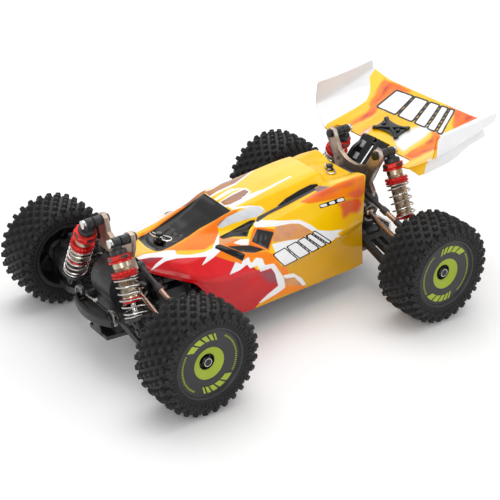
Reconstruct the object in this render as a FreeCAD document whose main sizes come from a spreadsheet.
import FreeCAD, Part
import math
import os
import Sketcher
from FreeCAD import Vector, Rotation, Placement

# Radio-controlled four-wheel-drive buggy.  Millimetres, +Z up, ground at Z = 0,
# origin midway between the axles, nose towards -Y, left side of the car at +X.
# The finished pieces are shifted along Y at the end, to the middle of the overall length.

# ---------------------------------------------------------------- driving dimensions
doc = FreeCAD.newDocument("rc_buggy")
sheet = doc.addObject("Spreadsheet::Sheet", "Dims")
SIZES = [
    ("wheelbase", 175), ("half_track", 79),
    ("tyre_radius", 33.5), ("tyre_width", 30), ("rim_radius", 21),
    ("hinge_in_x", 17), ("hinge_in_z", 32), ("hinge_out_x", 56), ("hinge_out_z", 21),
    ("link_lift", 29), ("kingpin_x", 60), ("diff_z", 46.5),
    ("pin_radius", 1.5), ("run_gap", 0.05), ("steer_arm", 14),
    ("crank_x", 14), ("crank_y", 71), ("bar_end_x", 21), ("bar_z", 50.2), ("shock_offset", 11.5),
    ("front_top_x", 15.1), ("front_top_z", 80), ("front_eye_x", 39.5), ("front_eye_z", 33),
    ("rear_top_x", 22.6), ("rear_top_z", 87.6), ("rear_eye_x", 47.5), ("rear_eye_z", 32),
    ("spur_teeth", 39), ("motor_teeth", 13), ("ring_teeth", 30), ("bevel_teeth", 10),
    ("gear_module", 0.8), ("bevel_module", 0.7), ("motor_drop_deg", 50), ("motor_radius", 11.5),
    ("plate_z", 14.8), ("plate_thick", 2.5), ("shell_thick", 1.0), ("wing_thick", 1.2),
    ("origin_y", 16.41), ("tread_blocks", 30),
    ("coil_count", 7), ("spring_radius", 6.6), ("wire_radius", 0.6),
]
OPERATIONS = {
    "+": lambda a, b: a + b,
    "-": lambda a, b: a - b,
    "*": lambda a, b: a * b,
    "/": lambda a, b: a / b,
}


class Dim:
    """A number with the sheet expression that gives it; fixed if it has none."""
    def __init__(self, value, formula=None):
        self.value = float(value)
        self.fixed = formula is None
        self.formula = repr(round(self.value, 6)) if self.fixed else formula

    def __add__(self, other): return combine(self, "+", other)
    def __radd__(self, other): return combine(other, "+", self)
    def __sub__(self, other): return combine(self, "-", other)
    def __rsub__(self, other): return combine(other, "-", self)
    def __mul__(self, other): return combine(self, "*", other)
    def __rmul__(self, other): return combine(other, "*", self)
    def __truediv__(self, other): return combine(self, "/", other)
    def __neg__(self): return combine(-1, "*", self)


def dim(x):
    return x if isinstance(x, Dim) else Dim(x)


def combine(left, sign, right):
    left, right = dim(left), dim(right)
    value = OPERATIONS[sign](left.value, right.value)
    if left.fixed and right.fixed:
        return Dim(value)
    return Dim(value, "(%s %s %s)" % (left.formula, sign, right.formula))


class Sizes:
    """Holds one Dim for each alias of the sheet."""


dims = Sizes()
for row, (alias, size) in enumerate(SIZES, 1):
    sheet.set("A%d" % row, alias)
    sheet.set("B%d" % row, str(size))
    sheet.setAlias("B%d" % row, alias)
    setattr(dims, alias, Dim(size, "Dims." + alias))
doc.recompute()

# ---------------------------------------------------------------- primitives
X_AXIS, Y_AXIS, Z_AXIS = Vector(1, 0, 0), Vector(0, 1, 0), Vector(0, 0, 1)
HALF_TURN = Rotation(Z_AXIS, 180)
# rotation that aims a primitive's own Z along each axis
AIM = {"X": Rotation(Y_AXIS, 90), "Y": Rotation(X_AXIS, -90), "Z": Rotation()}
made = 0


def add(kind, name, **sizes):
    """New object with a numbered name; sizes are bound to the sheet."""
    global made
    made += 1
    obj = doc.addObject(kind, "%s%03d" % (name, made))
    for prop, size in sizes.items():
        bind(obj, prop, size)
    return obj


def express(obj, path, d):
    if not d.fixed:
        obj.setExpression(path, d.formula)


def bind(obj, prop, d):
    d = dim(d)
    if d.fixed:
        setattr(obj, prop, d.value)
    express(obj, prop, d)


def put(obj, x=0, y=0, z=0, turn=AIM["Z"]):
    base = [dim(v) for v in (x, y, z)]
    obj.Placement = Placement(Vector(*[d.value for d in base]), turn)
    for key, d in zip("xyz", base):
        express(obj, "Placement.Base." + key, d)
    return obj


def box(x0, x1, y0, y1, z0, z1):
    x0, x1, y0, y1, z0, z1 = [dim(v) for v in (x0, x1, y0, y1, z0, z1)]
    return put(add("Part::Box", "Block", Length=x1 - x0, Width=y1 - y0, Height=z1 - z0), x0, y0, z0)


def cyl(radius, length, x=0, y=0, z=0, way="Z"):
    """A round bar that starts at x, y, z and runs along +way."""
    return put(add("Part::Cylinder", "Round", Radius=radius, Height=length), x, y, z, AIM[way])


def ball(radius, x=0, y=0, z=0, turn=AIM["Z"]):
    return put(add("Part::Sphere", "Ball", Radius=radius), x, y, z, turn)


def prism(sides, radius, length, x=0, y=0, z=0, way="Z"):
    obj = add("Part::Prism", "Prism", Circumradius=radius, Height=length)
    obj.Polygon = sides
    return put(obj, x, y, z, AIM[way])


def fuse(*parts):
    obj = add("Part::MultiFuse", "Join")
    obj.Shapes = list(parts)
    return obj


def cut(base, *tools):
    tool = tools[0] if len(tools) == 1 else fuse(*tools)
    obj = add("Part::Cut", "Cut")
    obj.Base, obj.Tool = base, tool
    return obj


def group(*parts):
    obj = add("Part::Compound", "Group")
    obj.Links = list(parts)
    return obj


def flip(source):
    """Mirror image on the other side of the car."""
    obj = add("Part::Mirroring", "Mirror")
    obj.Source = source
    obj.Normal = X_AXIS
    return obj


def solid(shape, name):
    """A form built directly from sheet values where no primitive fits."""
    obj = add("Part::Feature", name)
    obj.Shape = shape
    return obj


# ---------------------------------------------------------------- sketched forms
def origin_of(body, role):
    return next(f for f in body.Origin.OriginFeatures if f.Role == role)


def add_to(body, kind, name):
    global made
    made += 1
    return body.newObject(kind, "%s%03d" % (name, made))


def draw(body, plane, offset, loops, circles=()):
    """Sketch of closed polygons and (u, v, radius) circles, bound to the sheet."""
    sketch = add_to(body, "Sketcher::SketchObject", "Sketch")
    sketch.AttachmentSupport = [(origin_of(body, plane), "")]
    sketch.MapMode = "FlatFace"
    offset = dim(offset)
    sketch.AttachmentOffset = Placement(Vector(0, 0, offset.value), Rotation())
    express(sketch, "AttachmentOffset.Base.z", offset)

    def constrain(d, *args):
        index = sketch.addConstraint(Sketcher.Constraint(*args, d.value))
        express(sketch, "Constraints[%d]" % index, d)

    def pin_down(geometry, point, u, v):
        for kind, d, axis in (("DistanceX", u, -2), ("DistanceY", v, -1)):
            # distances run from or to the sketch origin, so that they stay positive
            if abs(d.value) < 1e-9:
                sketch.addConstraint(Sketcher.Constraint("PointOnObject", geometry, point, axis))
            elif d.value > 0:
                constrain(d, kind, -1, 1, geometry, point)
            else:
                constrain(-d, kind, geometry, point, -1, 1)

    for points in loops:
        points = [(dim(u), dim(v)) for u, v in points]
        ends = [Vector(u.value, v.value, 0) for u, v in points]
        count = len(points)
        first = sketch.GeometryCount
        for k in range(count):
            sketch.addGeometry(Part.LineSegment(ends[k], ends[(k + 1) % count]), False)
        for k in range(count):
            sketch.addConstraint(
                Sketcher.Constraint("Coincident", first + k, 2, first + (k + 1) % count, 1))
        for k in range(count):
            pin_down(first + k, 1, *points[k])
    for circle in circles:
        u, v, radius = [dim(c) for c in circle]
        centre = Vector(u.value, v.value, 0)
        index = sketch.addGeometry(Part.Circle(centre, Z_AXIS, radius.value), False)
        pin_down(index, 3, u, v)
        constrain(radius, "Radius", index)
    return sketch


def pad(body, plane, offset, thick, loops, circles=()):
    sketch = draw(body, plane, offset, loops, circles)
    feature = add_to(body, "PartDesign::Pad", "Pad")
    feature.Profile = sketch
    bind(feature, "Length", thick)
    body.Tip = feature
    return feature


def plate(plane, offset, thick, loops, circles=()):
    """Flat plate padded from a sketch."""
    body = add("PartDesign::Body", "Body")
    pad(body, plane, offset, thick, loops, circles)
    return body


def turned(points, axis="X"):
    """Solid of revolution about X or Z: points are (along the axis, radius)."""
    body = add("PartDesign::Body", "Body")
    if axis == "X":
        sketch = draw(body, "XY_Plane", 0, [points])
    else:
        sketch = draw(body, "XZ_Plane", 0, [[(r, a) for a, r in points]])
    turn = add_to(body, "PartDesign::Revolution", "Turn")
    turn.Profile = sketch
    turn.ReferenceAxis = (origin_of(body, axis + "_Axis"), [""])
    turn.Angle = 360
    body.Tip = turn
    return body


def patterned(body, plane, offset, thick, loops, axis, count):
    """Pads loops and repeats the pad around an axis of the body."""
    feature = pad(body, plane, offset, thick, loops)
    doc.recompute()
    pattern = add_to(body, "PartDesign::PolarPattern", "Pattern")
    pattern.Originals = [feature]
    pattern.Axis = (origin_of(body, axis + "_Axis"), [""])
    pattern.Angle = 360
    pattern.setExpression("Occurrences", count.formula)
    body.Tip = pattern
    return body


def mirrored(points):
    return [(-u, v) for u, v in reversed(points)]


def both_sides(points):
    """Closed outline from its half at +u."""
    return points + mirrored(points)


def rect(u0, u1, v0, v1):
    return [(u0, v0), (u1, v0), (u1, v1), (u0, v1)]


# ---------------------------------------------------------------- shared places and sizes
half_base = dims.wheelbase / 2
gap = dims.run_gap
pin_r = dims.pin_radius
bore_r = pin_r + gap
snug_r = pin_r + 0.02
hinge_in_x, hinge_in_z = dims.hinge_in_x, dims.hinge_in_z
hinge_out_x, hinge_out_z = dims.hinge_out_x, dims.hinge_out_z
link_in_z = hinge_in_z + dims.link_lift
link_out_z = hinge_out_z + dims.link_lift
kingpin_x, axle_z, diff_z = dims.kingpin_x, dims.tyre_radius, dims.diff_z
plate_z = dims.plate_z
deck_top = plate_z + dims.plate_thick
seat_z = deck_top + gap             # underside of the boxes on the deck
offset_y = dims.shock_offset

arm_run = hinge_out_x.value - hinge_in_x.value
arm_fall = hinge_in_z.value - hinge_out_z.value
arm_len = Dim(math.hypot(arm_run, arm_fall),
              "sqrt((Dims.hinge_out_x - Dims.hinge_in_x)^2 + (Dims.hinge_in_z - Dims.hinge_out_z)^2)")
arm_deg = math.degrees(math.atan2(arm_fall, arm_run))
ARM_TURN = Rotation(Y_AXIS, arm_deg)

cup_r, cup_inner_r, slot_half = 6.2, 4.6, 2.2      # slotted drive cups
stub_r, shaft_r = 2.5, 2
cup_bore, stub_bore, shaft_bore = cup_r + gap, stub_r + gap, shaft_r + gap
post_r = 1.9                                       # post of the idler crank

# body posts: distance inboard of the axle, height of the top
FRONT_POST = (27.3, 67.2)
REAR_POST = (18.8, 77.4)

# ---------------------------------------------------------------- placing the pieces
# Axle parts are modelled in a frame on the ground below the axle, with +Y away from the
# middle of the car; corner parts lie at +X.  The front axle uses the frame turned half round.
NODES = []


def node(obj, label):
    obj.Label = label
    NODES.append((label, obj))


def at_front(part):
    return put(group(part), 0, -half_base, 0, HALF_TURN)


def at_rear(part):
    return put(group(part), 0, half_base, 0)


def rear_pair(part, name):
    left = at_rear(part)
    right = flip(left)
    node(left, name + "_rl")
    node(right, name + "_rr")


def front_pair(part, name):
    right = at_front(part)
    left = flip(right)
    node(left, name + "_fl")
    node(right, name + "_fr")


def four(part, name):
    front_pair(part, name)
    rear_pair(part, name)


# ---------------------------------------------------------------- wheels
def tyre():
    """Carcass of revolution with rows of tread blocks all round."""
    width, outer, inner = dims.tyre_width, dims.tyre_radius, dims.rim_radius
    carcass = turned(both_sides([
        (0.418 * width, inner + 0.1), (0.418 * width, inner + 1.35), (0.48 * width, inner + 3),
        (0.49 * width, outer - 6), (0.44 * width, outer - 3), (0.3 * width, outer - 2)]))
    middle = rect(0.05 * width, 0.16 * width, outer - 3, outer)
    shoulder = [(0.36 * width, outer - 5), (0.49 * width, outer - 5),
                (0.47 * width, outer - 2.2), (0.36 * width, outer - 1.2)]
    block = 2.5                     # length of a block round the tyre
    patterned(carcass, "XY_Plane", -block / 2, block,
              [mirrored(middle), middle, mirrored(shoulder), shoulder], "X", dims.tread_blocks)
    return put(group(carcass), dims.half_track, 0, axle_z)


def rim():
    """Dished rim with its stub axle, hexagon drive and nut, about the X axis."""
    radius = dims.rim_radius
    barrel = turned([
        (-13, radius - 2), (-13, radius + 1.2), (-12.7, radius + 1.2), (-12.7, radius),
        (12.7, radius), (12.7, radius + 1.2), (13.6, radius + 1.2), (13.6, radius - 2),
        (11, radius - 5), (12.4, radius - 9), (12.2, 8.6), (8.5, 7.6), (8.5, 2.6), (-2.9, 2.6),
        (-2.9, 7.2), (6, 7.2), (9.8, radius - 9), (8.8, radius - 5), (8, radius - 2)])
    # stub axle with a slotted cup on its inner end
    axle = cut(fuse(cyl(cup_r, 10, -23, 0, 0, "X"), cyl(stub_r, 24.4, -13.2, 0, 0, "X")),
               cyl(cup_inner_r, 9, -23.5, 0, 0, "X"),
               box(-23.5, -15.5, -7, 7, -slot_half, slot_half))
    hexagon = cut(prism(6, 6.6, 4.8, -8, 0, 0, "X"), cyl(stub_bore, 6, -8.5, 0, 0, "X"))
    nut = cut(prism(6, 4.2, 3.2, 8.55, 0, 0, "X"), cyl(stub_bore, 5, 8, 0, 0, "X"))
    return put(group(barrel, axle, hexagon, nut), dims.half_track, 0, axle_z)


four(tyre(), "tyre")
four(rim(), "wheel_rim")


# ---------------------------------------------------------------- dogbones
def dogbone():
    """Drive shaft with a ball and a cross pin at each end."""
    run, fall = (kingpin_x - hinge_in_x).value, (diff_z - axle_z).value
    length = Dim(math.hypot(run, fall),
                 "sqrt((Dims.kingpin_x - Dims.hinge_in_x)^2 + (Dims.diff_z - Dims.tyre_radius)^2)")
    ball_r, rod_r, cross_r, cross_len = 3, 1.6, 0.8, 8.6
    ball_turn = Rotation(Z_AXIS, 45)
    shaft = fuse(ball(ball_r, turn=ball_turn), ball(ball_r, length, turn=ball_turn),
                 cyl(rod_r, length, 0, 0, 0, "X"),
                 cyl(cross_r, cross_len, 0, -cross_len / 2, 0, "Y"),
                 cyl(cross_r, cross_len, length, -cross_len / 2, 0, "Y"))
    return put(shaft, hinge_in_x, 0, diff_z,
               Rotation(Y_AXIS, math.degrees(math.atan2(fall, run))))


four(dogbone(), "dogbone")


# ---------------------------------------------------------------- lower arms
def lower_arm(eye_x, eye_z):
    """Arm in its own frame: hinge axis at the origin, x outwards along the arm."""
    run, rise = eye_x.value - hinge_in_x.value, eye_z.value - hinge_in_z.value
    angle = math.radians(arm_deg)
    eye_along = run * math.cos(angle) - rise * math.sin(angle)
    eye_up = run * math.sin(angle) + rise * math.cos(angle)
    outline = [(0, -9.2), (14, -9.2), (30, -10.3), (arm_len, -10.3), (arm_len, -6.3),
               (arm_len - 5, -6.3), (arm_len - 5, 6.3), (arm_len, 6.3), (arm_len, 10.3),
               (26, 13.5), (6, 14), (0, 14), (0, 7.6), (4.4, 7.6), (4.4, -3.2), (0, -3.2)]
    windows = [[(9, -5.6), (18, -5.6), (28, -6.6), (28, -1.2), (9, -1.2)],
               [(9, 1.4), (28, 1.4), (28, 4.6), (9, 5)],
               [(9, 10.2), (16, 10.2), (16, 12), (9, 12)]]
    inner_r, outer_r, foot_z = 3.3, 2.8, -1.9
    arm = fuse(
        plate("XY_Plane", -2.2, 4, [outline] + windows),
        # hinge barrels, inner then outer
        cyl(inner_r, 6, 0, -9.2, 0, "Y"), cyl(inner_r, 6.4, 0, 7.6, 0, "Y"),
        cyl(outer_r, 4, arm_len, -10.3, 0, "Y"), cyl(outer_r, 4, arm_len, 6.3, 0, "Y"),
        # upright lug for the shock's lower eye, with a rib beside it
        box(eye_along - 3.4, eye_along + 3.4, 5.9, 7.8, foot_z, eye_up),
        cyl(3.4, 1.9, eye_along, 5.9, eye_up, "Y"),
        box(eye_along - 2.2, eye_along + 2.2, 4.2, 5.95, foot_z, eye_up * 0.6))
    arm = cut(arm, cyl(bore_r, 30, 0, -14, 0, "Y"), cyl(bore_r, 30, arm_len, -14, 0, "Y"))
    arm = fuse(arm, cyl(pin_r, 6.9, eye_along, 7.3, eye_up, "Y"))
    return put(arm, hinge_in_x, 0, hinge_in_z, ARM_TURN)


front_pair(lower_arm(dims.front_eye_x, dims.front_eye_z), "lower_arm")
rear_pair(lower_arm(dims.rear_eye_x, dims.rear_eye_z), "lower_arm")


# ---------------------------------------------------------------- upper camber links
def upper_link():
    """Link with an eye and a sleeve at each end and a hexagon in the middle."""
    mid_y, eye_r, eye_wide, eye_y = -3, 3, 4, -5
    sleeve_r, sleeve_len = 1.95, 7.1
    link = cut(fuse(cyl(eye_r, eye_wide, 0, eye_y, 0, "Y"),
                    cyl(eye_r, eye_wide, arm_len, eye_y, 0, "Y"),
                    cyl(1.6, arm_len - 4, 2, mid_y, 0, "X"),
                    cyl(sleeve_r, sleeve_len, 1.9, mid_y, 0, "X"),
                    cyl(sleeve_r, sleeve_len, arm_len - 9, mid_y, 0, "X"),
                    prism(6, 2.4, 5, arm_len / 2 - 2.5, mid_y, 0, "X")),
               cyl(bore_r, 8, 0, -7, 0, "Y"), cyl(bore_r, 8, arm_len, -7, 0, "Y"))
    return put(link, hinge_in_x, 0, link_in_z, ARM_TURN)


four(upper_link(), "upper_link")


# ---------------------------------------------------------------- hubs
def hub_pins():
    """Outer hinge barrel with its pin, and the pin of the upper link."""
    return [cyl(3, 12, hinge_out_x, -6, hinge_out_z, "Y"),
            cyl(pin_r, 21.6, hinge_out_x, -10.8, hinge_out_z, "Y"),
            cyl(1.4, 7.5, hinge_out_x, -5.5, link_out_z, "Y")]


def steering_carrier():
    """Open C that holds the kingpins."""
    hoop = cut(cyl(11.4, 4.7, 52.5, 0, axle_z, "X"), cyl(9.2, 8, 50, 0, axle_z, "X"))
    carrier = cut(fuse(hoop,
                       box(52.5, 64, -5, 5, axle_z + 9.6, axle_z + 13),
                       box(54, 64, -5, 5, axle_z - 13, axle_z - 9.6),
                       box(53, 59, -0.7, 2.2, axle_z + 11, link_out_z + 2.7), *hub_pins()),
                  box(51, 59, -12.5, -6, axle_z - 7.5, axle_z + 6.5))
    return fuse(carrier, cyl(pin_r, 3.4, kingpin_x, 0, axle_z - 10.9),
                cyl(pin_r, 3.4, kingpin_x, 0, axle_z + 7.5))


def bearing_housing():
    return cyl(8.6, 11.5, 57.5, 0, axle_z, "X")


def rear_upright():
    return cut(fuse(bearing_housing(),
                    box(53, 61, -5.6, 5.6, hinge_out_z - 1.5, hinge_out_z + 5.6),
                    box(53, 60, -0.7, 2.2, hinge_out_z + 20, link_out_z + 2.7), *hub_pins()),
               cyl(cup_bore, 13.3, 53, 0, axle_z, "X"), cyl(stub_bore, 8, 65, 0, axle_z, "X"))


front_pair(steering_carrier(), "steering_carrier")
rear_pair(rear_upright(), "rear_upright")

# ---------------------------------------------------------------- steering
steer_arm = dims.steer_arm
stud_r, ball_r = 1, 2                   # ball studs of the tie rods
tie_out_z = Dim(35.5)
tie_in_z = tie_out_z + (hinge_in_z - hinge_out_z)
crank_x, crank_y, bar_end_x = dims.crank_x, dims.crank_y, dims.bar_end_x
bar_y = crank_y - steer_arm             # the bar's pivots are this far ahead of the middle
bar_frame_y = bar_y - half_base         # the same place in the front axle's frame
crank_z, crank_thick = 44, 4


def knuckle():
    """Bearing housing, kingpin bosses, and steering arm with its ball stud."""
    part = fuse(bearing_housing(),
                cyl(2.75, 3, kingpin_x, 0, axle_z - 9.5), cyl(2.75, 3, kingpin_x, 0, axle_z + 6.5),
                box(57.5, 62.5, -steer_arm - 3, -6.8, 29.5, 31.5))
    part = cut(part, cyl(cup_bore, 10.3, 56, 0, axle_z, "X"),
               cyl(stub_bore, 5, 66, 0, axle_z, "X"),
               cyl(bore_r, 5, kingpin_x, 0, axle_z - 12.2),
               cyl(bore_r, 5, kingpin_x, 0, axle_z + 7.2))
    return fuse(part, cyl(stud_r, 5, kingpin_x, -steer_arm, 30.5),
                ball(ball_r, kingpin_x, -steer_arm, tie_out_z))


def tie_rod():
    """Rod from the steering bar's end to the knuckle's arm, in the front axle's frame."""
    span = Vector(kingpin_x.value - bar_end_x.value, -steer_arm.value - bar_frame_y.value,
                  -arm_fall)
    length = span.Length
    start = 2.6                         # distance of the rod's end from the ball's centre
    rod = fuse(cyl(1.5, length - 2 * start), cyl(2.1, 5, 0, 0, 0.4),
               cyl(2.1, 5, 0, 0, length - 10.6), prism(6, 2.3, 4.5, 0, 0, length / 2 - 4.6))
    rod.Placement = Placement(
        Vector(bar_end_x.value, bar_frame_y.value, tie_in_z.value) + span * (start / length),
        Rotation(Z_AXIS, span))
    eye_r, eye_tall, bore, bore_tall = 3.4, 4.4, 2.1, 6
    return cut(fuse(rod,
                    cyl(eye_r, eye_tall, bar_end_x, bar_frame_y, tie_in_z - eye_tall / 2),
                    cyl(eye_r, eye_tall, kingpin_x, -steer_arm, tie_out_z - eye_tall / 2),
                    cyl(1.9, 7.6, bar_end_x, bar_frame_y - 3.8, tie_in_z, "Y")),
               cyl(bore, bore_tall, bar_end_x, bar_frame_y, tie_in_z - bore_tall / 2),
               cyl(bore, bore_tall, kingpin_x, -steer_arm, tie_out_z - bore_tall / 2))


def crank(x, hub_bore=None):
    """Arm from its pivot back to the steering bar, with the bar's pin."""
    arm = plate("XY_Plane", crank_z, crank_thick, [rect(x - 2.2, x + 2.2, -crank_y, -bar_y)])
    arm = fuse(arm, cyl(3.6, crank_thick, x, -crank_y, crank_z),
               cyl(2.9, crank_thick, x, -bar_y, crank_z))
    if hub_bore is not None:
        arm = cut(arm, cyl(hub_bore, 6, x, -crank_y, crank_z - 1))
    return fuse(arm, cyl(pin_r, 5.6, x, -bar_y, 47.9))


def servo_saver():
    return fuse(crank(crank_x), cyl(2.4, 8.1, crank_x, -crank_y, 36),
                cyl(2.6, 1.2, crank_x, -crank_y, 47.9))


def steering_bar():
    """Cross bar on the two cranks, with a ball stud below each end."""
    edge_x = bar_end_x + 2.8
    bar = plate("XY_Plane", dims.bar_z, 2.6, [rect(-edge_x, edge_x, -bar_y - 3, -bar_y + 3)],
                [(crank_x, -bar_y, bore_r), (-crank_x, -bar_y, bore_r)])
    studs = []
    for x in (bar_end_x, -bar_end_x):
        studs += [cyl(stud_r, 5, x, -bar_y, tie_in_z), ball(ball_r, x, -bar_y, tie_in_z)]
    return fuse(bar, *studs)


def steering_servo():
    case = fuse(box(6, 18.2, -73.2, -50.2, seat_z, 40), box(6.2, 18, -75.2, -48.2, 33, 35),
                cyl(4.6, 3, 12.1, -67.5, 40))
    # the small upright core lies wholly inside the case
    return fuse(cut(case, cyl(2.45, 12, crank_x, -crank_y, 34)), cyl(1, 12, 12, -55, seat_z + 3))


front_pair(knuckle(), "knuckle")
tie_right = at_front(tie_rod())
node(flip(tie_right), "tie_rod_left")
node(tie_right, "tie_rod_right")
node(servo_saver(), "servo_saver")
node(crank(-crank_x, post_r + gap.value), "idler_crank")
node(steering_bar(), "steering_bar")
node(steering_servo(), "steering_servo")


# ---------------------------------------------------------------- coil-over shocks
def coil_solid(radius, wire_r, height, turns, per_turn=12, sides=6):
    """Coil of a six-sided wire, made of flat facets."""
    steps = int(turns * per_turn)
    rows = []
    for k in range(steps + 1):
        turn = 2 * math.pi * turns * k / steps
        row = []
        for i in range(sides):
            around = 2 * math.pi * i / sides
            reach = radius + wire_r * math.cos(around)
            row.append(Vector(reach * math.cos(turn), reach * math.sin(turn),
                              height * k / steps + wire_r * math.sin(around)))
        rows.append(row)
    facets = []
    for k in range(steps):
        for i in range(sides):
            j = (i + 1) % sides
            facets.append((rows[k][i], rows[k][j], rows[k + 1][j]))
            facets.append((rows[k][i], rows[k + 1][j], rows[k + 1][i]))
    for i in range(1, sides - 1):
        facets.append((rows[0][0], rows[0][i + 1], rows[0][i]))
        facets.append((rows[-1][0], rows[-1][i], rows[-1][i + 1]))
    skin = Part.makeShell([Part.Face(Part.makePolygon([a, b, c, a])) for a, b, c in facets])
    skin.sewShape()
    coil = Part.makeSolid(skin)
    if coil.Volume < 0:
        coil.reverse()
    return coil


# A shock's own frame: top eye at the origin, axis down -Z, lower eye at -length.
def shock_body(length):
    end = -(length - 20.5)                  # lower end of the threaded body
    eye = cut(fuse(cyl(3.2, 5, 0, -2.5, 0, "Y"), cyl(2.6, 4.5, 0, 0, -5), cyl(5, 4, 0, 0, -7.2)),
              cyl(bore_r, 8, 0, -4, 0, "Y"))
    cap = prism(8, 7.3, 4.3, 0, 0, -11.55)
    outer_r, inner_r = 4.9, 4.2
    tube = turned([(-11.6, 0), (-11.6, 5.2), (-15, 5.2), (-15, outer_r), (end, outer_r),
                   (end, inner_r), (-13, inner_r), (-13, 0)], "Z")
    collar = cut(prism(16, 7.6, 3.6, 0, 0, -20.2), cyl(5.0, 6, 0, 0, -21))
    low_cap = cut(cyl(5.6, 3, 0, 0, end - 3.05), cyl(1.56, 5, 0, 0, end - 4))
    return group(eye, cap, tube, collar, low_cap)


def shock_rod(length):
    """Piston rod with piston, lower eye and spring seat."""
    eye_bore = 2.4
    eye = cut(cyl(3.4, 4.4, 0, -2.2, -length, "Y"), cyl(eye_bore, 6, 0, -3, -length, "Y"))
    taper = put(add("Part::Cone", "Taper", Radius1=2.9, Radius2=6, Height=4.6),
                0, 0, -length + 2.5)
    seat = cut(fuse(cyl(7.3, 2, 0, 0, -length + 7), taper),
               cyl(eye_bore, 6, 0, -3, -length, "Y"))
    return fuse(cyl(pin_r, length - 26.5, 0, 0, -length + 5), cyl(4.05, 2, 0, 0, -22.5), eye, seat)


def shock(top_x, top_z, eye_x, eye_z, pair):
    run, fall = eye_x.value - top_x.value, top_z.value - eye_z.value
    length = math.hypot(run, fall)
    lean = Rotation(Y_AXIS, -math.degrees(math.atan2(run, fall)))
    pair(put(shock_body(length), top_x, offset_y, top_z, lean), "shock_body")
    pair(put(shock_rod(length), top_x, offset_y, top_z, lean), "shock_rod")
    # the spring's ends stay clear of the collar and the seat
    spring_top, spring_low, clear = -20.5, -length + 9.7, 0.8
    spring = solid(coil_solid(dims.spring_radius.value, dims.wire_radius.value,
                              spring_top - spring_low - 2 * clear, dims.coil_count.value), "Coil")
    top = Placement(Vector(top_x.value, offset_y.value, top_z.value), lean)
    spring.Placement = top * Placement(Vector(0, 0, spring_low + clear), Rotation())
    pair(spring, "shock_spring")


front_top_x, front_top_z = dims.front_top_x, dims.front_top_z
rear_top_x, rear_top_z = dims.rear_top_x, dims.rear_top_z
shock(front_top_x, front_top_z, dims.front_eye_x, dims.front_eye_z, front_pair)
shock(rear_top_x, rear_top_z, dims.rear_eye_x, dims.rear_eye_z, rear_pair)

# ---------------------------------------------------------------- gears
PRESSURE = math.radians(20)
TOOTH_FILL = 0.86                       # tooth width as a share of half the pitch
gear_module, bevel_module = dims.gear_module, dims.bevel_module
gear_y0, gear_y1 = 17.5, 22.5           # spur gear and motor pinion
pinion_y, pinion_wide = 9.2, 2.6        # bevel pinions: distance inboard of the axle, width


def involute(angle):
    return math.tan(angle) - angle


def tooth_outline(teeth, module):
    """Involute tooth outline as (across, radius) pairs, symmetric about the radius."""
    pitch_r = teeth * module / 2
    base_r = pitch_r * math.cos(PRESSURE)
    half_angle = math.pi / (2 * teeth) * TOOTH_FILL
    flank = []
    for r in (pitch_r - 1.1 * module, max(base_r, pitch_r - 0.7 * module),
              pitch_r - 0.2 * module, pitch_r + 0.35 * module, pitch_r + 0.85 * module):
        pressure = math.acos(base_r / r) if r > base_r else 0.0
        angle = half_angle + involute(PRESSURE) - involute(pressure)
        flank.append((-r * math.sin(angle), r * math.cos(angle)))
    return flank + mirrored(flank)


def gear(teeth, module, y0, y1):
    """Spur gear about the Y axis through the origin, between y0 and y1."""
    root_r = (teeth.value / 2 - 1) * module
    blank = plate("XZ_Plane", -y1, y1 - y0, [], [(0, 0, root_r)])
    doc.recompute()
    outline = [((x / module.value) * module, (y / module.value) * module)
               for x, y in tooth_outline(teeth.value, module.value)]
    return patterned(blank, "XZ_Plane", -y1, y1 - y0, [outline], "Y", teeth)


# the motor's axis is below and to the left of the centre shaft
motor_drop = math.radians(dims.motor_drop_deg.value)
gear_centres = (dims.spur_teeth + dims.motor_teeth) * gear_module / 2
motor_x = gear_centres * math.cos(motor_drop)
motor_z = diff_z - gear_centres * math.sin(motor_drop)
# a tooth of each gear points from the centre shaft to the motor; the pinion's tooth count
# is odd, so that one of its gaps faces the spur gear
MESH_TURN = Rotation(Y_AXIS, 90 + dims.motor_drop_deg.value)


def centre_shaft():
    """Drilled spur gear on a long shaft with a small pinion on each end."""
    spur = put(group(gear(dims.spur_teeth, gear_module, gear_y0, gear_y1)),
               0, 0, diff_z, MESH_TURN)
    pinion = gear(dims.bevel_teeth, bevel_module, 0, pinion_wide)
    quarter = Rotation(Y_AXIS, 90)
    front = put(group(pinion), 0, -half_base + pinion_y, diff_z, quarter)
    rear = put(group(pinion), 0, half_base - (pinion_y + pinion_wide), diff_z, quarter)
    shaft = cyl(shaft_r, 2 * (half_base - 11), 0, -half_base + 11, diff_z, "Y")
    hub = cyl(4.5, 8, 0, 15.6, diff_z, "Y")
    circle_r, hole_r = 9.6, 2
    angles = [math.radians(60 * k) for k in range(6)]
    holes = [cyl(hole_r, 8, circle_r * math.cos(a), 16, diff_z + circle_r * math.sin(a), "Y")
             for a in angles]
    return fuse(cut(spur, *holes), hub, shaft, front, rear)


def motor_pinion():
    pinion = gear(dims.motor_teeth, gear_module, gear_y0, gear_y1)
    return put(group(fuse(pinion, cyl(1, 44, 0, 15, 0, "Y"))), motor_x, 0, motor_z, MESH_TURN)


def motor():
    """Can with a boss at each end, bored for its shaft, with a shallow recess on top."""
    radius = dims.motor_radius
    return cut(fuse(cyl(radius, 36, motor_x, 26, motor_z, "Y"),
                    cyl(3.5, 1.8, motor_x, 24.3, motor_z, "Y"),
                    cyl(4.5, 2, motor_x, 61.9, motor_z, "Y")),
               cyl(1.05, 45, motor_x, 20, motor_z, "Y"),
               box(motor_x - 8, motor_x + 8, 40, 54, motor_z + radius - 1.2, motor_z + radius + 2))


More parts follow.
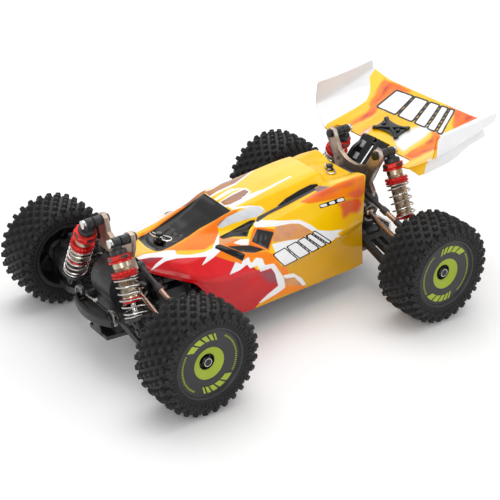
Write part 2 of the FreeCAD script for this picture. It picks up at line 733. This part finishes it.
def differential():
    """Spool with slotted cups and a ring of face teeth."""
    spool = turned([
        (-19.5, cup_inner_r), (-19.5, cup_r), (-8.4, cup_r), (-8.4, 7.8), (4.3, 7.8),
        (4.3, 11.9), (6.8, 11.9), (8.4, 7.8), (8.4, cup_r), (19.5, cup_r), (19.5, cup_inner_r),
        (9.9, cup_inner_r), (9.9, 0), (-9.9, 0), (-9.9, cup_inner_r)])
    half = 0.17 * bevel_module.value * math.pi
    flank = [(2.85, half - 0.12), (3.5, half), (4.5, half + 0.25)]
    patterned(spool, "XZ_Plane", 9.4, 2.2, [flank + [(x, -z) for x, z in reversed(flank)]],
              "X", dims.ring_teeth)
    return cut(spool, box(-20, -10.4, -7, 7, -slot_half, slot_half),
               box(10.4, 20, -7, 7, -slot_half, slot_half))


node(centre_shaft(), "centre_shaft")
node(motor_pinion(), "motor_pinion")
node(motor(), "motor")
spool = differential()
diff_turn = Rotation(X_AXIS, 6)         # half a ring tooth
node(put(group(spool), 0, -half_base, diff_z, diff_turn), "front_diff")
node(put(group(spool), 0, half_base, diff_z, HALF_TURN * diff_turn), "rear_diff")


# ---------------------------------------------------------------- gearbox cases
def gearbox(post_y, post_top):
    """Case round the differential, hinge lugs, and an inboard arm with the body post."""
    lug_y0, lug_y1 = -2.5, 7
    case = fuse(
        cyl(14.5, 21.2, -10.6, 0, diff_z, "X"),
        box(-10.6, 10.6, -11, 11, deck_top, diff_z),
        cyl(4.6, 10, 0, -20, diff_z, "Y"),
        box(8, hinge_in_x, lug_y0, lug_y1, hinge_in_z - 3, hinge_in_z + 3),
        box(-hinge_in_x, -8, lug_y0, lug_y1, hinge_in_z - 3, hinge_in_z + 3),
        cyl(3.2, lug_y1 - lug_y0, hinge_in_x, lug_y0, hinge_in_z, "Y"),
        cyl(3.2, lug_y1 - lug_y0, -hinge_in_x, lug_y0, hinge_in_z, "Y"),
        box(-8, 8, -4, -0.1, 58, 70), box(-4, 4, -(post_y + 3.7), -4, 56, 58.6),
        cyl(2, post_top - 57, 0, -post_y, 57))
    return cut(case, cyl(12.9, 18, -9, 0, diff_z, "X"), cyl(cup_bore, 24, -12, 0, diff_z, "X"),
               cyl(shaft_bore, 14, 0, -21, diff_z, "Y"),
               cyl(snug_r, 12, hinge_in_x, -4, hinge_in_z, "Y"),
               cyl(snug_r, 12, -hinge_in_x, -4, hinge_in_z, "Y"))


node(at_front(gearbox(*FRONT_POST)), "front_gearbox_case")
node(at_rear(gearbox(*REAR_POST)), "rear_gearbox_case")


# ---------------------------------------------------------------- shock towers
def tower(half_outline, top_x, top_z, high_hole_z):
    """Upright plate with the holes of the shocks and the pins of the upper links."""
    holes = []
    for x, z, radius in ((top_x, top_z, snug_r), (8, 66, 1.2), (14, high_hole_z, 1.2)):
        holes += [(x, z, radius), (-x, z, radius)]
    parts = [plate("XZ_Plane", -3, 3, [both_sides(half_outline)], holes)]
    for side in (1, -1):
        parts.append(cyl(2.4, 1, side * hinge_in_x, -1, link_in_z, "Y"))
        parts.append(cyl(pin_r, 5.6, side * hinge_in_x, -5.5, link_in_z, "Y"))
    return fuse(*parts)


# half outlines at +X, as (x, z)
FRONT_TOWER = [
    (11.2, 61.7), (12.6, 58), (19.5, 57.5), (20.5, 62), (16.5, 68), (18.5, 74),
    (front_top_x + 4, front_top_z - 1), (front_top_x + 3, front_top_z + 3),
    (front_top_x - 0.5, front_top_z + 4), (front_top_x - 4, front_top_z + 2), (9, 74), (4, 71.5)]
REAR_TOWER = [
    (11.2, 61.7), (12.6, 58), (19.5, 57.5), (20.5, 62), (17, 67), (20, 74),
    (rear_top_x + 3.5, rear_top_z - 4), (rear_top_x + 4, rear_top_z),
    (rear_top_x + 2, rear_top_z + 3.4), (rear_top_x - 2, rear_top_z + 3.2),
    (14, 79), (8, 75.5), (3, 74.5)]
node(at_front(tower(FRONT_TOWER, front_top_x, front_top_z, 70)), "front_shock_tower")
node(at_rear(tower(REAR_TOWER, rear_top_x, rear_top_z, 73)), "rear_shock_tower")


# ---------------------------------------------------------------- chassis plate and bumper
# half outlines at +X, as (x, y)
DECK = [(10, -105), (13, -76), (25, -60), (30.5, -30), (28, 10), (25, 58), (21, 74), (12, 80),
        (10, 105)]
BUMPER = [(10, -113.4), (20, -110), (24, -104.8), (19, -107.6), (9, -110.6)]


def chassis_plate():
    """Deck with the motor bracket and the post of the idler crank."""
    deck = plate("XY_Plane", plate_z, dims.plate_thick, [both_sides(DECK)],
                 [(x, y, 1.6) for y in (95, -95) for x in (5, -5)])
    bracket = cut(fuse(box(-6, motor_x + 10, 23.6, 25.6, deck_top - 0.5, 53),
                       box(-6, motor_x + 10, 25, 32, deck_top - 0.3, deck_top + 1.2)),
                  cyl(shaft_bore, 6, 0, 22, diff_z, "Y"), cyl(3.6, 6, motor_x, 22, motor_z, "Y"),
                  cyl(dims.motor_radius + 0.2, 20, motor_x, 25.9, motor_z, "Y"))
    return fuse(deck, bracket, cyl(post_r, 34, -crank_x, -crank_y, plate_z + 1))


def front_bumper():
    bow = plate("XY_Plane", 22, 9, [both_sides(BUMPER)])
    skid = plate("XY_Plane", plate_z, 2.6, [rect(-9.8, 9.8, -113.2, -105.1)])
    return fuse(bow, skid, box(-9, 9, -113, -110.8, plate_z, 24))


def electronics():
    battery = box(-28, -10.5, -50, 14, seat_z, 52)
    speed_control = fuse(box(8, 28, -42, -8, seat_z, 30), box(9.5, 26.5, -40, -10, 29.9, 34))
    receiver = box(9, 26, -5, 12, seat_z, 28)
    return group(battery, speed_control, receiver)


node(chassis_plate(), "chassis_plate")
node(front_bumper(), "front_bumper")
node(electronics(), "battery_and_electronics")

# ---------------------------------------------------------------- body shell
# stations: Y, then (x, z) points of the half-section from mid-roof to the lower edge
STATIONS = [
    (-82, [(0, 62), (5, 62), (10, 62.6), (12, 62.2), (13.2, 61.2),
           (14.2, 60), (15, 58.6), (15.4, 57.6), (15.8, 56.4)]),
    (-70, [(0, 62.6), (8.6, 63), (10.8, 65), (13.4, 64.3), (17.2, 62),
           (21, 59.4), (24, 56.4), (25.4, 54.4), (26, 52.4)]),
    (-60, [(0, 63.4), (9.6, 63.7), (12.2, 66.4), (15.5, 65.4), (21, 62.8),
           (27.4, 59.6), (33.4, 54.6), (34.8, 52), (35.2, 49.8)]),
    (-45, [(0, 66), (11.6, 66.4), (14.2, 69.2), (17.4, 67.6), (23, 65),
           (30.4, 61.2), (37.6, 50.5), (38, 46), (37, 30)]),
    (-30, [(0, 71.6), (12.6, 72), (15, 74.2), (20, 67.9), (24.4, 66.4),
           (32.2, 61.2), (38.8, 48.5), (37.8, 43.5), (34.2, 18)]),
    (-18, [(0, 76.8), (14.6, 77.2), (16.6, 78), (22, 68.6), (26.4, 68),
           (33, 61), (39, 47), (37, 42), (33, 16.4)]),
    (0, [(0, 80), (14.8, 79.8), (17, 79), (23, 69.4), (27.2, 68.8),
         (33, 60.4), (38.4, 45), (36.2, 40.4), (31.8, 16.2)]),
    (20, [(0, 82.8), (14.5, 82.2), (17, 81), (22.4, 71.8), (26.8, 71),
          (32, 60), (36.6, 43), (34.6, 39), (30.4, 16)]),
    (40, [(0, 84.8), (14, 84.4), (16.5, 83), (20.6, 75.8), (25.2, 75),
          (30, 60), (34.2, 42.6), (32.4, 39.6), (29.2, 15.8)]),
    (48, [(0, 85.2), (13.6, 84.8), (15.8, 83.4), (19.6, 77.4), (24.8, 76.6),
          (29.2, 61), (32.6, 42.8), (31, 40), (28.6, 15.8)]),
    (53, [(0, 76.8), (13, 76.6), (15.5, 76.9), (19, 77.5), (24.8, 77.4),
          (28.6, 62), (31.4, 43.4), (30, 40.6), (28.2, 15.7)]),
    (66, [(0, 75.2), (12, 75.2), (15, 76.5), (19, 78), (25.6, 78.6),
          (27, 66), (27.8, 45), (26.6, 42.2), (27.4, 15.6)]),
    (77.2, [(0, 74.4), (11, 74.4), (14, 75.8), (18, 77.3), (25.4, 78.4),
            (25.0, 68), (24.4, 46), (23.4, 43.4), (25.6, 15.5)]),
]


def inset(points, depth):
    """Half-section moved inwards; the first point stays on the middle plane."""
    moved = []
    for i, (x, z) in enumerate(points):
        near = points[max(i - 1, 0):i + 2]
        normals = []
        for (xa, za), (xb, zb) in zip(near, near[1:]):
            length = math.hypot(xb - xa, zb - za)
            normals.append(((zb - za) / length, -(xb - xa) / length))
        nx = sum(n[0] for n in normals)
        nz = sum(n[1] for n in normals)
        length = math.hypot(nx, nz)
        nx, nz = nx / length, nz / length
        # a sharp corner moves further, up to a limit
        shift = depth / max(0.6, nx * normals[0][0] + nz * normals[0][1])
        moved.append((x + nx * shift, z + nz * shift))
    moved[0] = (0.0, points[0][1] - depth)
    moved[-1] = (moved[-1][0], points[-1][1])
    return moved


def section(y, points, thick):
    inner = inset(points, thick)
    outline = (mirrored(points)[:-1] + points + list(reversed(inner))
               + [(-x, z) for x, z in inner[1:]])
    corners = [Vector(x, y, z) for x, z in outline]
    return Part.makePolygon(corners + [corners[0]])


def body_shell():
    """Lofted shell with holes for the body posts, and a clip at each post."""
    thick = dims.shell_thick.value
    skin = Part.makeLoft([section(y, points, thick) for y, points in STATIONS], True, True)
    front_y, rear_y = -half_base + FRONT_POST[0], half_base - REAR_POST[0]
    shell = cut(solid(skin, "Shell"), cyl(2.3, 20, 0, front_y, 56), cyl(2.3, 22, 0, rear_y, 65))
    # two legs that straddle the post above the shell, and a loop beside it
    wire_r, leg_len, leg_y = 0.5, 13, 2.6
    clips = []
    for y, z in ((front_y, 65.4), (rear_y, 76.6)):
        loop = put(add("Part::Torus", "Loop", Radius1=3.0, Radius2=wire_r), 10.2, y, z)
        clips.append(fuse(cyl(wire_r, leg_len, -5, y - leg_y, z, "X"),
                          cyl(wire_r, leg_len, -5, y + leg_y, z, "X"), loop))
    return group(shell, *clips)


node(body_shell(), "body_shell")

# ---------------------------------------------------------------- wing
lead_y, lead_z = 97, 83                 # leading edge of the blade's top
trail_y, trail_z = 153.4, 103.8         # trailing edge
wing_slope = (trail_z - lead_z) / (trail_y - lead_y)
WING_TURN = Rotation(X_AXIS, math.degrees(math.atan(wing_slope)))
stud_x, stud_y = 7, 118.8
BLADE = [(-42.5, lead_y, lead_z), (42.5, lead_y, lead_z),
         (44.5, trail_y, trail_z), (-44.5, trail_y, trail_z)]
# left end plate, four (x, y, z) corners to a sheet: an outward flare, an upright strip on it,
# and a tapered strip in two lengths that hangs from the blade's edge
END_PLATES = [
    [(42, 97, 83.1), (57.5, 103, 93.6), (58.6, 153.4, 107.4), (44, 153.4, 103.9)],
    [(57.2, 103, 93.2), (57.6, 105, 108.4), (58.8, 152.4, 113), (58.4, 153.4, 107.0)],
    [(43.6, 98.2, 83.0), (44.6, 106.6, 76.4), (46.6, 130, 81.2), (44.4, 131, 94.9)],
    [(44.4, 130.8, 94.8), (46.6, 129.8, 81.2), (50.6, 151.4, 94.2), (45.4, 153.2, 103.4)]]


def slab(corners):
    """Four-cornered sheet of the wing's thickness, on one side of its corners."""
    top = [Vector(*c) for c in corners]
    normal = (top[1] - top[0]).cross(top[3] - top[0])
    normal.normalize()
    low = [v - normal * dims.wing_thick.value for v in top]
    faces = []
    for loop in (top, list(reversed(low))):
        faces.append([loop[0], loop[1], loop[2]])
        faces.append([loop[0], loop[2], loop[3]])
    for i in range(4):
        j = (i + 1) % 4
        faces.append([low[i], low[j], top[j]])
        faces.append([low[i], top[j], top[i]])
    sheet_solid = Part.makeSolid(
        Part.makeShell([Part.Face(Part.makePolygon(f + [f[0]])) for f in faces]))
    if sheet_solid.Volume < 0:
        sheet_solid.reverse()
    return sheet_solid


def on_wing(y, lift):
    """Height of the blade's top at y, plus lift."""
    return lead_z + (y - lead_y) * wing_slope + lift


def wing():
    ends = [solid(slab(corners), "EndPlate") for corners in END_PLATES]
    blade = fuse(solid(slab(BLADE), "Wing"), *(ends + [flip(end) for end in ends]))
    # two stud holes, and notches beside the shock tops
    return cut(blade, cyl(1.8, 20, stud_x, stud_y, 80), cyl(1.8, 20, -stud_x, stud_y, 80),
               box(13, 36, 90, 104.6, 78, 98), box(-36, -13, 90, 104.6, 78, 98))


def wing_mount():
    """Two slotted cheeks, a saddle under the wing with two studs, an X retainer on top."""
    cheek = [(90.6, 62), (90.6, 73), (103, 82.4), (127, on_wing(127, -3.6)),
             (127, on_wing(127, -6.6)), (112, 84), (99, 66), (95, 62)]
    slot = [(98, 72.5), (106, 80), (110, 83.4), (103.5, 74.5)]
    cheek_x, cheek_thick, saddle_x = 10, 2.4, 11.2
    cheeks = [plate("YZ_Plane", side * cheek_x - cheek_thick / 2, cheek_thick, [cheek, slot])
              for side in (1, -1)]
    saddle = put(box(-saddle_x, saddle_x, 0, 23, -1.2, 1.2),
                 -saddle_x, 104.5, on_wing(104.5, -3.9), WING_TURN)
    base_plate = box(-saddle_x, saddle_x, 90.6, 92.8, 62, 72)
    tie_bars = [cyl(1.4, 2 * cheek_x, -cheek_x, y, z, "X") for y, z in ((93.4, 68), (110, 82.6))]
    studs = [cyl(1.5, 9, side * stud_x, stud_y, on_wing(stud_y, -4.5)) for side in (1, -1)]
    bars = []
    for side in (1, -1):
        bar = box(-15.5, 15.5, -2, 2, 0, 1.8)
        middle = Placement(Vector(0, stud_y, on_wing(stud_y, 0.5)),
                           WING_TURN * Rotation(Z_AXIS, side * 32))
        bar.Placement = middle * bar.Placement
        bars.append(bar)
    holes = [cyl(1.52, 9, side * stud_x, stud_y, on_wing(stud_y, -4)) for side in (1, -1)]
    return group(fuse(*(cheeks + [saddle, base_plate] + tie_bars + studs)),
                 cut(fuse(*bars), *holes))


node(wing(), "wing")
node(wing_mount(), "wing_mount")


# ---------------------------------------------------------------- fasteners
def start_y(end, inner, length):
    """Lower Y of a piece that runs outboard from inner past the axle; end is -1 at the front."""
    if end > 0:
        return half_base + inner
    return -half_base - (inner + length)


def end_bar(end, radius, length, x, inner, z):
    return cyl(radius, length, x, start_y(end, inner, length), z, "Y")


def fasteners():
    bits = []
    for end, top_x, top_z in ((-1, front_top_x, front_top_z), (1, rear_top_x, rear_top_z)):
        for side in (1, -1):
            x = side * top_x
            # inner hinge pin, held by the gearbox lug and the end brace
            bits.append(end_bar(end, pin_r, 30, side * hinge_in_x, -10.6, hinge_in_z))
            # shock stud with its head, spacer and end disc
            bits.append(fuse(end_bar(end, pin_r - 0.02, 14.4, x, -1, top_z),
                             end_bar(end, 2.7, 1.6, x, -1.7, top_z),
                             cut(end_bar(end, 3.0, 5.4, x, 3.1, top_z),
                                 end_bar(end, 1.0, 9, x, 0, top_z)),
                             end_bar(end, 2.6, 1.8, x, 14.2, top_z)))
        # end brace that ties the two hinge pins together
        brace_y = start_y(end, 15.6, 2)
        bits.append(cut(box(-hinge_in_x - 3, hinge_in_x + 3, brace_y, brace_y + 2,
                            hinge_in_z - 3, hinge_in_z + 3),
                        cyl(snug_r, 6, hinge_in_x, brace_y - 2, hinge_in_z, "Y"),
                        cyl(snug_r, 6, -hinge_in_x, brace_y - 2, hinge_in_z, "Y")))
    return group(*bits)


node(fasteners(), "fasteners")

# ---------------------------------------------------------------- checks and export
doc.recompute()
bad = [(o.Name, o.Label, o.State) for o in doc.Objects
       if "Invalid" in o.State or "Error" in o.State]
for label, part in NODES:
    shape = part.Shape
    if shape.isNull() or not shape.isValid() or not shape.Solids or shape.Volume <= 0:
        bad.append((label, "shape"))
if bad:
    raise RuntimeError("failed objects: %s" % bad[:8])

# the exported origin is on the ground below the middle of the overall length
shift = Placement(Vector(0, -dims.origin_y.value, 0), Rotation())
os.makedirs("parts", exist_ok=True)
for label, part in NODES:
    part.Placement = shift * part.Placement
for label, part in NODES:
    part.Shape.exportStep("parts/%s.step" % label)
